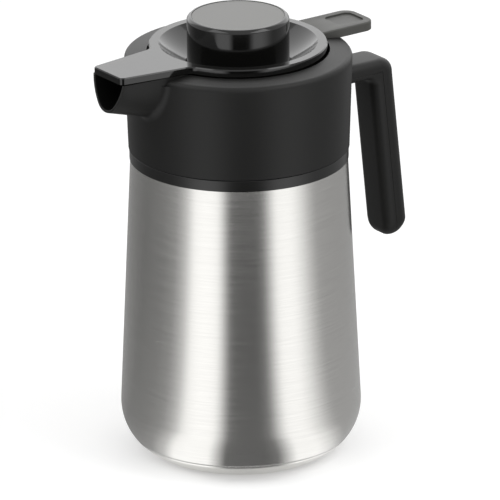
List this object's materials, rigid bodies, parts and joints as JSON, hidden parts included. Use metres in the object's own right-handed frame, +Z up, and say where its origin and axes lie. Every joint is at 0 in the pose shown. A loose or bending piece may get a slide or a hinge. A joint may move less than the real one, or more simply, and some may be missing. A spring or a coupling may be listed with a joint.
{
  "type": "thermal carafe",
  "caption": "Steel vacuum jug with a brushed tapering body, black pouring collar and spout, open-ended handle, hinged lid with a thumb lever, and a push knob that opens the pour valve.",
  "frame": {"origin": "centre of the flat base, on the surface that the jug stands on", "axes": "+Z up along the body's axis, spout towards -X, handle and thumb lever towards +X"},
  "size_m": [0.2023, 0.1356, 0.2567],
  "materials": {
    "brushed_steel": "fine brushing round the body",
    "polished_steel": "smooth satin",
    "bright_steel": "bright",
    "satin_disc": "satin",
    "matte_black": "fine moulded texture",
    "lever_grey": "fine moulded texture",
    "satin_black": "satin",
    "gloss_black": "high gloss",
    "grey_plastic": "plain moulded",
    "seal_rubber": "smooth silicone"
  },
  "bodies": {
    "jug": {"outer_shell": "brushed_steel", "shell_neck": "brushed_steel", "bottom_cap": "polished_steel", "vacuum_base_plate": "polished_steel", "vacuum_plug": "polished_steel", "inner_flask": "polished_steel", "flask_neck": "polished_steel", "trim_ring": "satin_black", "neck_thread_ring": "grey_plastic", "neck_gasket": "seal_rubber", "collar": "matte_black", "hinge_pin": "bright_steel", "handle_shell": "matte_black", "handle_liner": "matte_black", "handle_screws": "bright_steel"},
    "lid": {"lid_top": "gloss_black", "lid_underplate": "grey_plastic", "lid_screws": "bright_steel", "thumb_piece": "lever_grey", "thumb_screws": "bright_steel", "stopper_body": "grey_plastic", "stopper_screws": "bright_steel", "stopper_gasket": "seal_rubber", "valve_spring": "bright_steel"},
    "button": {"knob_cap": "gloss_black", "knob_disc": "satin_disc", "valve_stem": "bright_steel", "valve_head": "grey_plastic", "valve_seal": "seal_rubber", "valve_screw": "bright_steel"}
  },
  "joints": [
    {"name": "lid_hinge", "type": "hinge", "parent": "jug", "child": "lid", "pos_m": [0.058, 0, 0.2323], "axis": [0, 1, 0], "range_deg": [0, 40]},
    {"name": "button_press", "type": "slide", "parent": "lid", "child": "button", "axis": [0, 0, -1], "range_m": [0, 0.005], "stiffness_N_per_m": 800, "springref_m": -0.004, "deforming": ["valve_spring"]}
  ]
}
